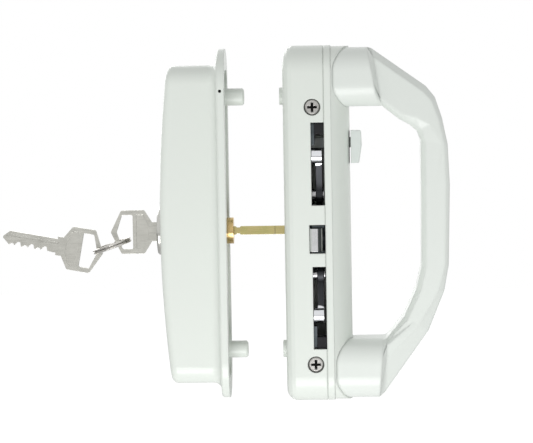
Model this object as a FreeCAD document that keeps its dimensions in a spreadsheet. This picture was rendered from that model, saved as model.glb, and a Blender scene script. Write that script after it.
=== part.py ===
import FreeCAD, Part
import math
import os

import Sketcher
from FreeCAD import Placement, Rotation, Vector

# Sliding patio door handle set, in millimetres.
# X = 0 is the inside face of the door, +X points into the room.
# Y = 0 is the middle of the housing, the latch edge is at -Y.
# Z = 0 is half way between the two fixing screws, +Z is up.

doc = FreeCAD.newDocument("patio_door_handle")
sizes = doc.addObject("Spreadsheet::Sheet", "sizes")

DRIVING = {
    # door and fixing
    "door_gap": 28.5,
    "fix_spacing": 125.4,
    "fix_hole_rad": 2.75,
    "fix_thread_rad": 2.1,
    # inner housing
    "house_tall": 175.0,
    "house_wide": 42.0,
    "house_deep": 20.0,
    "house_corner": 13.0,
    "house_wall": 2.4,
    "house_floor": 2.4,
    "seam_bevel": 0.4,
    "back_round": 3.3,
    "boss_rad": 4.3,
    "boss_proud": 2.0,
    "seat_rad": 6.0,
    "seat_tall": 4.0,
    # openings in the latch edge
    "mech_height": -5.5,
    "slot_near": 15.0,
    "slot_screw_gap": 7.5,
    "slot_deep": 6.5,
    "window_height": -7.0,
    "window_tall": 14.0,
    "window_deep": 7.8,
    "edge_screw_end": 24.5,
    "edge_screw_inset": 5.6,
    "edge_screw_head": 3.8,
    "edge_screw_rad": 1.7,
    "edge_screw_long": 8.0,
    # escutcheon plate
    "rim_thick": 3.5,
    "dome_crown": 12.5,
    "dome_inset": 0.5,
    "plate_shell": 2.6,
    "plate_hollow": 96.0,
    "lug_tall": 10.0,
    "lug_deep": 6.0,
    # bail pull
    "foot_corner": 11.5,
    "foot_inset": 1.2,
    "foot_tall": 29.0,
    "foot_reach": 43.0,
    "grip_inside": 67.3,
    "grip_thick": 13.9,
    "grip_wide": 27.0,
    "bail_screw_rad": 2.4,
    "bail_screw_deep": 20.0,
    "bail_head_rad": 4.4,
    "bail_head_tall": 2.6,
    # lock mechanism
    "hub_height": -3.5,
    "gear_module": 1.0,
    "gear_teeth": 15,
    "tooth_play": 0.06,
    "journal_rad": 4.5,
    "run_clear": 0.05,
    "slide_clear": 0.2,
    "case_side_gap": 3.1,
    "case_sheet": 1.2,
    "case_base": 3.0,
    "case_top_gap": 37.5,
    "case_foot_gap": 31.3,
    "case_screw_y": 8.0,
    "case_screw_end": 5.0,
    "case_screw_rad": 1.65,
    "case_head_rad": 2.7,
    "case_head_tall": 1.5,
    "rivet_side": 2.9,
    "rivet_end": 3.4,
    "rivet_rad": 1.6,
    "cover_base": 12.2,
    "cover_sheet": 1.1,
    "cheek_tall": 1.9,
    "cheek_wide": 9.0,
    "bumper_tall": 5.6,
    "bumper_deep": 7.0,
    "bumper_inset": 1.4,
    "bar_base": 6.0,
    "bar_thick": 3.0,
    "arm_tall": 4.0,
    "hook_lift": 0.4,
    "hook_thick": 5.0,
    "hook_arm": 3.0,
    "hook_waist": 2.4,
    "hook_swing": 60.0,
    "hook_pivot_deep": 13.0,
    "hook_pivot_gap": 4.5,
    "hook_nose_rad": 3.7,
    "hook_nose_deep": 4.1,
    "hook_nose_gap": 16.4,
    "pivot_rad": 2.0,
    "drive_rad": 1.5,
    "fork_play": 0.35,
    "fork_wall": 1.5,
    "lever_end": 50.2,
    "lever_tall": 16.0,
    "lever_wide": 11.0,
    "lever_proud": 5.9,
    "stem_tall": 5.0,
    "stem_wide": 4.8,
    "stem_lift": 2.2,
    "plunger_tall": 11.2,
    "plunger_thick": 5.2,
    "plunger_long": 11.0,
    "plunger_proud": 1.6,
    "plunger_travel": 5.0,
    "guide_long": 21.0,
    "spring_rad": 2.0,
    "spring_wire": 0.45,
    # outer pull
    "flange_tall": 173.0,
    "flange_wide": 41.0,
    "flange_thick": 4.0,
    "flange_corner": 19.0,
    "flange_ledge": 8.0,
    "flange_side": 5.0,
    "pull_deep": 33.0,
    "pull_bow": 4.7,
    "pull_corner": 9.0,
    "pull_edge": 3.5,
    "pull_flare": 4.0,
    "flange_edge": 0.8,
    "pull_wall": 2.6,
    "post_rad": 4.25,
    "post_long": 9.0,
    "post_bevel": 0.8,
    # key cylinder
    "barrel_rad": 9.0,
    "collar_rad": 11.5,
    "collar_proud": 1.8,
    "collar_bevel": 0.7,
    "nut_thick": 4.0,
    "nut_ring": 2.6,
    "nut_notch": 2.4,
    "barrel_boss": 12.0,
    "plug_rad": 6.5,
    "plug_tail": 2.8,
    "blade_tall": 4.2,
    "blade_thick": 1.5,
    # keys
    "key_thick": 2.0,
    "key_blade": 7.0,
    "key_long": 27.0,
    "bow_tall": 21.6,
    "bow_long": 20.4,
    "ring_rad": 9.5,
    "ring_wire": 0.6,
    "ring_tilt": 18.8,
    "spare_tilt": 10.5,
}

for row, (alias, number) in enumerate(DRIVING.items(), start=1):
    sizes.set(f"A{row}", alias)
    sizes.set(f"B{row}", str(number))
    sizes.setAlias(f"B{row}", alias)
doc.recompute()

parts = []


def value(expression):
    """The number that a sheet expression gives."""
    return float(sizes.evalExpression(expression))


def keep(thing, node):
    """Names a finished sub-part."""
    thing.Label = node
    parts.append(thing)
    return thing


# Sketched bodies

def new_body(node):
    body = doc.addObject("PartDesign::Body", node)
    return keep(body, node)


def sketch_on(body, role, offset="0"):
    """An empty sketch on one of the body's origin planes, moved along its normal."""
    sketch = body.newObject("Sketcher::SketchObject", body.Name + "_sketch")
    plane = next(item for item in body.Origin.OriginFeatures if item.Role == role)
    sketch.AttachmentSupport = (plane, [""])
    sketch.MapMode = "FlatFace"
    sketch.setExpression("AttachmentOffset.Base.z", offset)
    return sketch


def hold(sketch, kind, geometry, end, expression):
    """Holds one coordinate of a point from the sketch's origin."""
    mark = sketch.addConstraint(
        Sketcher.Constraint(kind, -1, 1, geometry, end, value(expression)))
    sketch.setExpression(f"Constraints[{mark}]", expression)


def outline(sketch, corners):
    """A closed outline of straight lines; each corner is a pair of sheet expressions."""
    first = sketch.GeometryCount
    spots = [Vector(value(u), value(v), 0) for u, v in corners]
    count = len(spots)
    for i in range(count):
        sketch.addGeometry(Part.LineSegment(spots[i], spots[(i + 1) % count]))
    for i in range(count):
        sketch.addConstraint(
            Sketcher.Constraint("Coincident", first + i, 2, first + (i + 1) % count, 1))
    for i, (u, v) in enumerate(corners):
        hold(sketch, "DistanceX", first + i, 1, u)
        hold(sketch, "DistanceY", first + i, 1, v)


def rectangle(sketch, low_u, high_u, low_v, high_v):
    outline(sketch, [(low_u, low_v), (high_u, low_v), (high_u, high_v), (low_u, high_v)])


def circle(sketch, u, v, radius):
    spot = Vector(value(u), value(v), 0)
    mark = sketch.addGeometry(Part.Circle(spot, Vector(0, 0, 1), value(radius)))
    hold(sketch, "DistanceX", mark, 3, u)
    hold(sketch, "DistanceY", mark, 3, v)
    dimension = sketch.addConstraint(Sketcher.Constraint("Radius", mark, value(radius)))
    sketch.setExpression(f"Constraints[{dimension}]", radius)


def feature(body, kind, sketch, length, reverse=False):
    """A pad or pocket of a sketch; a pad grows along the sketch's normal."""
    made = body.newObject("PartDesign::" + kind, body.Name + "_" + kind.lower())
    made.Profile = sketch
    made.setExpression("Length", length)
    made.Reversed = reverse
    sketch.Visibility = False
    doc.recompute()
    return made


def pad(body, sketch, length, reverse=False):
    return feature(body, "Pad", sketch, length, reverse)


def pocket(body, sketch, length, reverse=False):
    """Cuts against the sketch's normal, or along it when reversed, and checks that it cut."""
    before = body.Shape.Volume
    made = feature(body, "Pocket", sketch, length, reverse)
    if not body.Shape.Volume < before - 1e-6:
        raise RuntimeError(body.Label + ": a pocket removed nothing")
    return made


def dress(body, kind, base, test, amount):
    """Rounds or bevels the edges of a feature that pass a test."""
    names = [f"Edge{i}" for i, edge in enumerate(base.Shape.Edges, start=1) if test(edge)]
    made = body.newObject("PartDesign::" + kind, body.Name + "_" + kind.lower())
    made.Base = (base, names)
    made.setExpression("Radius" if kind == "Fillet" else "Size", amount)
    doc.recompute()
    return made


def runs_along(edge, axis):
    """True for a straight edge along the given axis vector."""
    if edge.Curve.TypeId != "Part::GeomLine":
        return False
    return abs(abs(edge.tangentAt(edge.FirstParameter).dot(axis)) - 1) < 1e-6


def lies_at(edge, axis, place):
    """True when the whole edge lies in the plane where axis has the given value."""
    box = edge.BoundBox
    low = (box.XMin, box.YMin, box.ZMin)[axis]
    high = (box.XMax, box.YMax, box.ZMax)[axis]
    return abs(low - place) < 1e-4 and abs(high - place) < 1e-4


X_AXIS = Vector(1, 0, 0)
Y_AXIS = Vector(0, 1, 0)
Z_AXIS = Vector(0, 0, 1)


# Plain primitives, bound to the sheet

def rod(name, start, radius, length, axis=X_AXIS):
    """A cylinder that starts at a point and runs along an axis."""
    made = doc.addObject("Part::Cylinder", name)
    made.setExpression("Radius", radius)
    made.setExpression("Height", length)
    made.Placement = Placement(Vector(), Rotation(Z_AXIS, axis))
    for key, expression in zip("xyz", start):
        made.setExpression("Placement.Base." + key, expression)
    return made


# Shapes that neither a sketch nor a primitive gives

def solid(node, shape):
    made = doc.addObject("Part::Feature", node)
    made.Shape = shape
    return keep(made, node)


def round_slab(half_y, half_z, corner, low_x, high_x):
    """A slab across X whose outline in Y and Z is a rectangle with round corners."""
    slab = Part.makeBox(high_x - low_x, 2 * half_y, 2 * half_z, Vector(low_x, -half_y, -half_z))
    uprights = [edge for edge in slab.Edges if runs_along(edge, X_AXIS)]
    return slab.makeFillet(corner, uprights)


def x_rod(x, y, z, radius, length):
    return Part.makeCylinder(radius, length, Vector(x, y, z), X_AXIS)


# Values that several sub-parts share, worked out from the driving sizes

fix_up = value("sizes.fix_spacing / 2")
pitch_rad = value("sizes.gear_module * sizes.gear_teeth / 2")
throw = math.pi / 2 * pitch_rad
swing = math.radians(value("sizes.hook_swing"))
fork_reach = throw / (2 * math.tan(swing / 2))
outer_face = -value("sizes.door_gap")
front_face = outer_face - value("sizes.pull_deep")
hub_z = value("sizes.hub_height")
wall_y = value("sizes.house_wide / 2")


def add_shared(alias, number):
    """Puts a worked-out value on the sheet, below the driving sizes."""
    row = len(DRIVING) + 2 + len(shared)
    shared.append(alias)
    sizes.set(f"A{row}", alias)
    sizes.set(f"B{row}", str(number))
    sizes.setAlias(f"B{row}", alias)
    doc.recompute()


shared = []
add_shared("edge_screw_reach", value("sizes.house_tall / 2 - sizes.edge_screw_end"))
add_shared("slot_far", value("sizes.edge_screw_reach - sizes.slot_screw_gap"))
add_shared("hook_pivot_reach", value("sizes.slot_near + sizes.hook_pivot_gap"))
add_shared("hook_nose_reach", value("sizes.slot_far - sizes.hook_nose_gap"))
add_shared("hook_pivot_y", value("sizes.hook_pivot_deep - sizes.house_wide / 2"))
add_shared("hook_nose_y", value("sizes.hook_nose_deep - sizes.house_wide / 2"))
add_shared("hook_base", value("sizes.cover_base + sizes.cover_sheet + sizes.hook_lift"))
add_shared("lever_height", value("sizes.house_tall / 2 - sizes.lever_end"))
add_shared("case_wide", value("sizes.house_wide - 2 * sizes.house_wall - 2 * sizes.case_side_gap"))
add_shared("case_up", value("sizes.house_tall / 2 - sizes.case_top_gap"))
add_shared("case_down", value("sizes.house_tall / 2 - sizes.case_foot_gap"))
add_shared("foot_wide", value("sizes.house_wide - 2 * sizes.foot_inset"))
add_shared("pull_tall", value("sizes.flange_tall - 2 * sizes.flange_ledge"))
add_shared("pull_wide", value("sizes.flange_wide - 2 * sizes.flange_side"))
add_shared("throw_long", throw)
add_shared("fork_long", fork_reach)
add_shared("pitch_radius", pitch_rad)
doc.recompute()


# Inner half: housing, plate and pull

def make_inner_housing():
    """Die-cast tray, open to the room, with its latch edge notched for the hooks."""
    body = new_body("inner_housing")
    sketch = sketch_on(body, "YZ_Plane")
    rectangle(sketch, "-sizes.house_wide / 2", "sizes.house_wide / 2",
              "-sizes.house_tall / 2", "sizes.house_tall / 2")
    block = pad(body, sketch, "sizes.house_deep")
    rounded = dress(body, "Fillet", block, lambda e: runs_along(e, X_AXIS), "sizes.house_corner")
    deep = value("sizes.house_deep")
    slope = value("sizes.back_round")
    bevelled = dress(body, "Chamfer", rounded, lambda e: lies_at(e, 0, deep), "sizes.seam_bevel")
    sloped = dress(body, "Chamfer", bevelled, lambda e: lies_at(e, 0, 0), "sizes.back_round")
    dress(body, "Chamfer", sloped, lambda e: lies_at(e, 0, 0) or lies_at(e, 0, slope), "sizes.back_round / 3")
    inner = sketch_on(body, "YZ_Plane", "sizes.house_deep")
    rounded_rectangle(inner, "sizes.house_wide / 2 - sizes.house_wall",
                      "sizes.house_tall / 2 - sizes.house_wall",
                      "sizes.house_corner - sizes.house_wall")
    pocket(body, inner, "sizes.house_deep - sizes.house_floor")
    for side in (1, -1):
        notch = sketch_on(body, "YZ_Plane", "sizes.house_deep")
        rectangle(notch, "-sizes.house_wide / 2 - 1", "-sizes.house_wide / 2 + sizes.house_wall + 1",
                  f"sizes.mech_height + {side} * sizes.slot_near",
                  f"sizes.mech_height + {side} * sizes.slot_far")
        pocket(body, notch, "sizes.slot_deep")
    window = sketch_on(body, "YZ_Plane", "sizes.house_deep")
    rectangle(window, "-sizes.house_wide / 2 - 1", "-sizes.house_wide / 2 + sizes.house_wall + 1",
              "sizes.window_height - sizes.window_tall / 2",
              "sizes.window_height + sizes.window_tall / 2")
    pocket(body, window, "sizes.window_deep")
    for side in (1, -1):
        height = f"{side} * sizes.fix_spacing / 2"
        proud = sketch_on(body, "YZ_Plane")
        circle(proud, "0", height, "sizes.boss_rad")
        pad(body, proud, "sizes.boss_proud", reverse=True)
        seat = sketch_on(body, "YZ_Plane", "sizes.house_floor")
        circle(seat, "0", height, "sizes.seat_rad")
        pad(body, seat, "sizes.seat_tall")
        hole = sketch_on(body, "YZ_Plane", "sizes.house_floor + sizes.seat_tall")
        circle(hole, "0", height, "sizes.fix_hole_rad")
        pocket(body, hole, "sizes.house_floor + sizes.seat_tall + sizes.boss_proud")
    tail = sketch_on(body, "YZ_Plane", "sizes.house_floor")
    circle(tail, "0", "sizes.hub_height", "sizes.blade_tall / 2 + 1")
    pocket(body, tail, "sizes.house_floor")
    for side in (1, -1):
        recess = sketch_on(body, "XZ_Plane", "sizes.house_wide / 2")
        circle(recess, "sizes.house_deep - sizes.edge_screw_inset",
               f"sizes.mech_height + {side} * sizes.edge_screw_reach",
               "sizes.edge_screw_head + 0.25")
        pocket(body, recess, "sizes.house_wall * 0.6")
        through = sketch_on(body, "XZ_Plane", "sizes.house_wide / 2")
        circle(through, "sizes.house_deep - sizes.edge_screw_inset",
               f"sizes.mech_height + {side} * sizes.edge_screw_reach", "sizes.edge_screw_rad + 0.5")
        pocket(body, through, "sizes.house_wall + 1")
    return body


def rounded_rectangle(sketch, half_u, half_v, corner):
    """A rectangle about the sketch's origin with tangent corner arcs."""
    u, v, r = value(half_u), value(half_v), value(corner)
    first = sketch.GeometryCount
    runs = [((-u + r, -v), (u - r, -v)), ((u, -v + r), (u, v - r)),
            ((u - r, v), (-u + r, v)), ((-u, v - r), (-u, -v + r))]
    for start, end in runs:
        sketch.addGeometry(Part.LineSegment(Vector(*start, 0), Vector(*end, 0)))
    centres = [(u - r, -v + r), (u - r, v - r), (-u + r, v - r), (-u + r, -v + r)]
    for i, (cu, cv) in enumerate(centres):
        full = Part.Circle(Vector(cu, cv, 0), Z_AXIS, r)
        start = (i - 1) * math.pi / 2
        sketch.addGeometry(Part.ArcOfCircle(full, start, start + math.pi / 2))
    for i in range(4):
        arc = first + 4 + i
        sketch.addConstraint(Sketcher.Constraint("Tangent", first + i, 2, arc, 1))
        sketch.addConstraint(Sketcher.Constraint("Tangent", arc, 2, first + (i + 1) % 4, 1))
    hold(sketch, "DistanceY", first, 1, "-(" + half_v + ")")
    hold(sketch, "DistanceX", first + 1, 1, half_u)
    hold(sketch, "DistanceY", first + 2, 1, half_v)
    hold(sketch, "DistanceX", first + 3, 1, "-(" + half_u + ")")
    for i in range(4):
        mark = sketch.addConstraint(Sketcher.Constraint("Radius", first + 4 + i, r))
        sketch.setExpression(f"Constraints[{mark}]", corner)


def dome_solid(half_y, base_x, rise, half_z):
    """A bar along Z whose front is a shallow arc rising from base_x."""
    left = Vector(base_x, -half_y, -half_z)
    right = Vector(base_x, half_y, -half_z)
    arc = Part.Arc(left, Vector(base_x + rise, 0, -half_z), right).toShape()
    face = Part.Face(Part.Wire([arc, Part.makeLine(right, left)]))
    return face.extrude(Vector(0, 0, 2 * half_z))


def plate_dome():
    """The crowned front of the escutcheon plate, trimmed to the plate's outline."""
    inset = value("sizes.dome_inset")
    half_y = wall_y - inset
    half_z = value("sizes.house_tall / 2") - inset
    base = value("sizes.house_deep + sizes.rim_thick")
    rise = value("sizes.dome_crown - sizes.rim_thick")
    dome = dome_solid(half_y, base, rise, half_z)
    trim = round_slab(half_y, half_z, value("sizes.house_corner") - inset, base - 1, base + rise + 1)
    return dome.common(trim)


def make_escutcheon_plate():
    """Crowned cover that closes the housing; its lugs take the edge screws."""
    deep = value("sizes.house_deep")
    half_z = value("sizes.house_tall / 2")
    rim = round_slab(wall_y, half_z, value("sizes.house_corner"), deep, deep + value("sizes.rim_thick"))
    borders = [edge for edge in rim.Edges if lies_at(edge, 0, deep)]
    rim = rim.makeChamfer(value("sizes.seam_bevel"), borders)
    shape = rim.fuse(plate_dome())
    shell = value("sizes.plate_shell")
    hollow_y = wall_y - value("sizes.house_wall") - shell
    rise = value("sizes.dome_crown") - shell
    hollow = dome_solid(hollow_y, deep, rise, value("sizes.plate_hollow / 2"))
    shape = shape.cut(hollow)
    stem_y = value("sizes.stem_wide / 2 + sizes.slide_clear")
    stem_top = value("sizes.lever_height + sizes.stem_lift + sizes.stem_tall / 2 + 2 * sizes.slide_clear")
    stem_low = stem_top - value("sizes.stem_tall + 4 * sizes.slide_clear") - throw
    shape = shape.cut(Part.makeBox(40, 2 * stem_y, stem_top - stem_low, Vector(deep - 1, -stem_y, stem_low)))
    screw_x = deep - value("sizes.edge_screw_inset")
    lug_tall = value("sizes.lug_tall")
    lug_deep = value("sizes.lug_deep")
    for side in (1, -1):
        height = value(f"sizes.mech_height + {side} * sizes.edge_screw_reach")
        inner_y = -wall_y + value("sizes.house_wall + sizes.slide_clear")
        lug = Part.makeBox(deep - screw_x + 5 + 0.5, lug_deep, lug_tall,
                           Vector(screw_x - 5, inner_y, height - lug_tall / 2))
        shape = shape.fuse(lug)
        bore = Part.makeCylinder(1.75, lug_deep + 1, Vector(screw_x, inner_y - 0.5, height), Y_AXIS)
        shape = shape.cut(bore)
        foot_z = foot_middle(side)
        shape = shape.cut(x_rod(deep - 1, 0, foot_z, value("sizes.bail_screw_rad") + 0.3, 20))
    return solid("escutcheon_plate", shape.removeSplitter())


def foot_middle(side):
    """Height of a bail foot's centre line."""
    return side * value("sizes.house_tall / 2 - sizes.foot_inset - sizes.foot_tall / 2")


def flat_face(*spots):
    return Part.Face(Part.makePolygon([*spots, spots[0]]))


def stitch(a, b):
    """Flat triangles between two rows of points that run the same way."""
    faces = []
    i = j = 0
    while i < len(a) - 1 or j < len(b) - 1:
        if (i + 1) * (len(b) - 1) <= (j + 1) * (len(a) - 1):
            faces.append(flat_face(a[i], a[i + 1], b[j]))
            i += 1
        else:
            faces.append(flat_face(a[i], b[j + 1], b[j]))
            j += 1
    return faces


def arm_ring(inner, outer, run):
    """A section of an arm from an inner to an outer (X, Z) point.

    Each step of the run is (share of the way, half width); it returns the run's two halves.
    """
    spots = []
    for share, y in run:
        spots.append(Vector(inner[0] + (outer[0] - inner[0]) * share, y,
                            inner[1] + (outer[1] - inner[1]) * share))
    return spots[:3], spots[3:]


def foot_ring(inner, outer):
    """The end section of a foot, its round corners taken in short steps."""
    corner = value("sizes.foot_corner")
    half = value("sizes.foot_wide / 2")
    tall = abs(outer[1] - inner[1])
    steps = 6
    low, high = [], []
    for i in range(steps + 1):
        angle = math.pi / 2 * i / steps
        low.append((corner * (1 - math.cos(angle)) / tall, half - corner * (1 - math.sin(angle))))
    for share, y in reversed(low):
        high.append((1 - share, y))
    run = low + high
    spots = [Vector(inner[0] + (outer[0] - inner[0]) * share, y,
                    inner[1] + (outer[1] - inner[1]) * share) for share, y in run]
    return spots[:steps + 1], spots[steps + 1:]


def arm_solid(rings):
    """A closed body of flat facets through a row of sections."""
    def mirrored(row):
        return [Vector(spot.x, -spot.y, spot.z) for spot in row]

    faces = []
    for near, far in zip(rings, rings[1:]):
        joints = [(near[0], far[0]), ([near[0][-1], near[1][0]], [far[0][-1], far[1][0]]), (near[1], far[1])]
        for a, b in joints:
            faces += stitch(a, b) + stitch(mirrored(a), mirrored(b))
        for a, b in ((near[0][0], far[0][0]), (near[1][-1], far[1][-1])):
            faces.append(flat_face(a, b, *mirrored([b, a])))
    for low, high in (rings[0], rings[-1]):
        row = low + high
        faces.append(flat_face(*row, *reversed(mirrored(row))))
    made = Part.Solid(Part.Shell(faces))
    if made.Volume < 0:
        made.reverse()
    return made


def foot_block(inner, outer):
    """A foot from the plate's rim to the slanted plane where its arm begins."""
    half = value("sizes.foot_wide / 2")
    base = value("sizes.house_deep + sizes.rim_thick")
    slab = round_slab(half, abs(outer[1] - inner[1]) / 2, value("sizes.foot_corner"), base,
                      max(inner[0], outer[0]) + 1)
    slab.translate(Vector(0, 0, (inner[1] + outer[1]) / 2))
    start = Vector(inner[0], -half - 1, inner[1])
    along = Vector(outer[0] - inner[0], 0, outer[1] - inner[1])
    low = start - along * 0.3
    high = start + along * 1.3
    beyond = flat_face(low, high, high + X_AXIS * 30, low + X_AXIS * 30)
    return slab.cut(beyond.extrude(Vector(0, 2 * half + 2, 0)))


def make_bail_pull():
    """Faceted pull: two round-cornered feet, a shallow upper arm, a steep lower arm."""
    reach = value("sizes.foot_reach")
    end = value("sizes.house_tall / 2 - sizes.foot_inset")
    inner_end = end - value("sizes.foot_tall")
    inside = value("sizes.grip_inside")
    outside = inside + value("sizes.grip_thick")
    half = value("sizes.grip_wide / 2")
    grip_run = ((0, half - 2.6), (0.17, half), (0.5, half), (0.87, half), (1, half - 1.8))
    upper_foot = ((reach + 3.5, inner_end), (reach - 1.5, end))
    lower_foot = ((reach + 4.5, -inner_end), (reach + 2.5, -end))
    rings = [
        foot_ring(*upper_foot),
        arm_ring((reach + 5.5, inner_end + 0.1), (reach + 0.6, end - 0.6),
                 ((0, half - 2.6), (0.05, half - 0.3), (0.12, half + 2), (0.86, half + 0.7), (1, half - 3.2))),
        arm_ring((inside - 10.3, inner_end - 6.7), (outside - 11.2, end - 19.5),
                 ((0, half - 2.2), (0.05, half - 0.2), (0.14, half + 1.6), (0.86, half + 0.4), (1, half - 2.8))),
        arm_ring((inside - 5.3, inner_end - 9.4), (outside - 6.8, end - 25),
                 ((0, half - 2.3), (0.1, half - 0.1), (0.26, half + 1.3), (0.87, half + 0.3), (1, half - 2.5))),
        arm_ring((inside - 1.7, inner_end - 12.6), (outside - 3.5, end - 35),
                 ((0, half - 2.4), (0.16, half), (0.5, half + 0.9), (0.87, half + 0.1), (1, half - 2.2))),
        arm_ring((inside - 0.1, inner_end - 17), (outside - 0.8, end - 48.3),
                 ((0, half - 2.6), (0.17, half), (0.8, half + 0.1), (0.88, half - 0.2), (1, half - 1.8))),
        arm_ring((inside, inner_end - 39.3), (outside, end - 68.3), grip_run),
        arm_ring((inside - 0.3, 36.3 - inner_end), (outside - 1, 65.3 - end), grip_run),
        arm_ring((inside - 2.9, 24.8 - inner_end), (outside - 3.4, 52.3 - end),
                 ((0, half - 2.6), (0.17, half), (0.5, half), (0.8, half), (1, half - 2.2))),
        arm_ring((inside - 9.2, 11 - inner_end), (outside - 11.2, 33 - end),
                 ((0, half - 2.6), (0.16, half), (0.38, half + 0.1), (0.6, half + 0.2), (1, half - 3.4))),
        arm_ring((reach + 6.5, 0.4 - inner_end), (reach + 5.2, 2.4 - end),
                 ((0, half - 2.6), (0.06, half - 0.4), (0.12, half + 1.6), (0.36, half + 1.8), (1, half - 5))),
        foot_ring(*lower_foot),
    ]
    pull = arm_solid(rings).fuse([foot_block(*upper_foot), foot_block(*lower_foot)]).removeSplitter()
    pull = pull.cut(plate_dome())
    base = value("sizes.house_deep + sizes.rim_thick")
    for side in (1, -1):
        pull = pull.cut(x_rod(base, 0, foot_middle(side), value("sizes.bail_screw_rad"),
                              value("sizes.bail_screw_deep") - value("sizes.rim_thick") + 1))
    return solid("bail_pull", pull)


def cross_recess(centre, axis, up, span, deep):
    """The cross cut in a screw head, as two bars that sink along axis from the centre."""
    side = axis.cross(up)
    bars = []
    for a, b in ((side, up), (up, side)):
        width = span * 0.26
        corner = centre - a * (span / 2) - b * (width / 2)
        bar = Part.makePolygon([corner, corner + a * span, corner + a * span + b * width,
                                corner + b * width, corner])
        bars.append(Part.Face(bar).extrude(axis * deep))
    return bars[0].fuse(bars[1])


def make_edge_screws():
    """Two cross-head screws in the latch edge that hold the plate on the housing."""
    screws = []
    head = value("sizes.edge_screw_head")
    x = value("sizes.house_deep - sizes.edge_screw_inset")
    seat = -wall_y + value("sizes.house_wall * 0.6")
    for side in (1, -1):
        z = value(f"sizes.mech_height + {side} * sizes.edge_screw_reach")
        crown = Part.makeCone(head * 0.8, head, 0.5, Vector(x, seat - 1.3, z), Y_AXIS)
        disc = Part.makeCylinder(head, 0.8, Vector(x, seat - 0.8, z), Y_AXIS)
        shank = Part.makeCylinder(value("sizes.edge_screw_rad"), value("sizes.edge_screw_long"),
                                  Vector(x, seat, z), Y_AXIS)
        screw = crown.fuse([disc, shank]).removeSplitter()
        screws.append(screw.cut(cross_recess(Vector(x, seat - 1.4, z), Y_AXIS, Z_AXIS, head * 1.3, 1.7)))
    return solid("edge_screws", Part.makeCompound(screws))


def make_bail_screws():
    """Two pan-head screws from inside the plate into the feet of the pull."""
    screws = []
    deep = value("sizes.house_deep")
    tall = value("sizes.bail_head_tall")
    for side in (1, -1):
        z = foot_middle(side)
        head = x_rod(deep - tall, 0, z, value("sizes.bail_head_rad"), tall)
        shank = x_rod(deep, 0, z, value("sizes.bail_screw_rad") - 0.02, value("sizes.bail_screw_deep"))
        screw = head.fuse(shank).removeSplitter()
        screws.append(screw.cut(cross_recess(Vector(deep - tall - 0.1, 0, z), X_AXIS, Z_AXIS, 5, 1.6)))
    return solid("bail_screws", Part.makeCompound(screws))


# Lock mechanism

def make_lock_case():
    """Folded steel tray that the bars slide in."""
    body = new_body("lock_case")
    base = sketch_on(body, "YZ_Plane", "sizes.case_base")
    rectangle(base, "-sizes.case_wide / 2", "sizes.case_wide / 2", "-sizes.case_down", "sizes.case_up")
    pad(body, base, "sizes.cover_base - sizes.case_base")
    inside = sketch_on(body, "YZ_Plane", "sizes.cover_base")
    rectangle(inside, "-sizes.case_wide / 2 + sizes.case_sheet", "sizes.case_wide / 2 - sizes.case_sheet",
              "-sizes.case_down - 1", "sizes.case_up + 1")
    pocket(body, inside, "sizes.cover_base - sizes.case_base - sizes.case_sheet")
    bearing = sketch_on(body, "YZ_Plane", "sizes.case_base + sizes.case_sheet")
    circle(bearing, "0", "sizes.hub_height", "sizes.journal_rad + sizes.run_clear")
    for height in ("sizes.case_up - sizes.case_screw_end", "-sizes.case_down + sizes.case_screw_end"):
        circle(bearing, "sizes.case_screw_y", height, "sizes.case_screw_rad + sizes.run_clear")
    pocket(body, bearing, "sizes.case_sheet")
    return body


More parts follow.
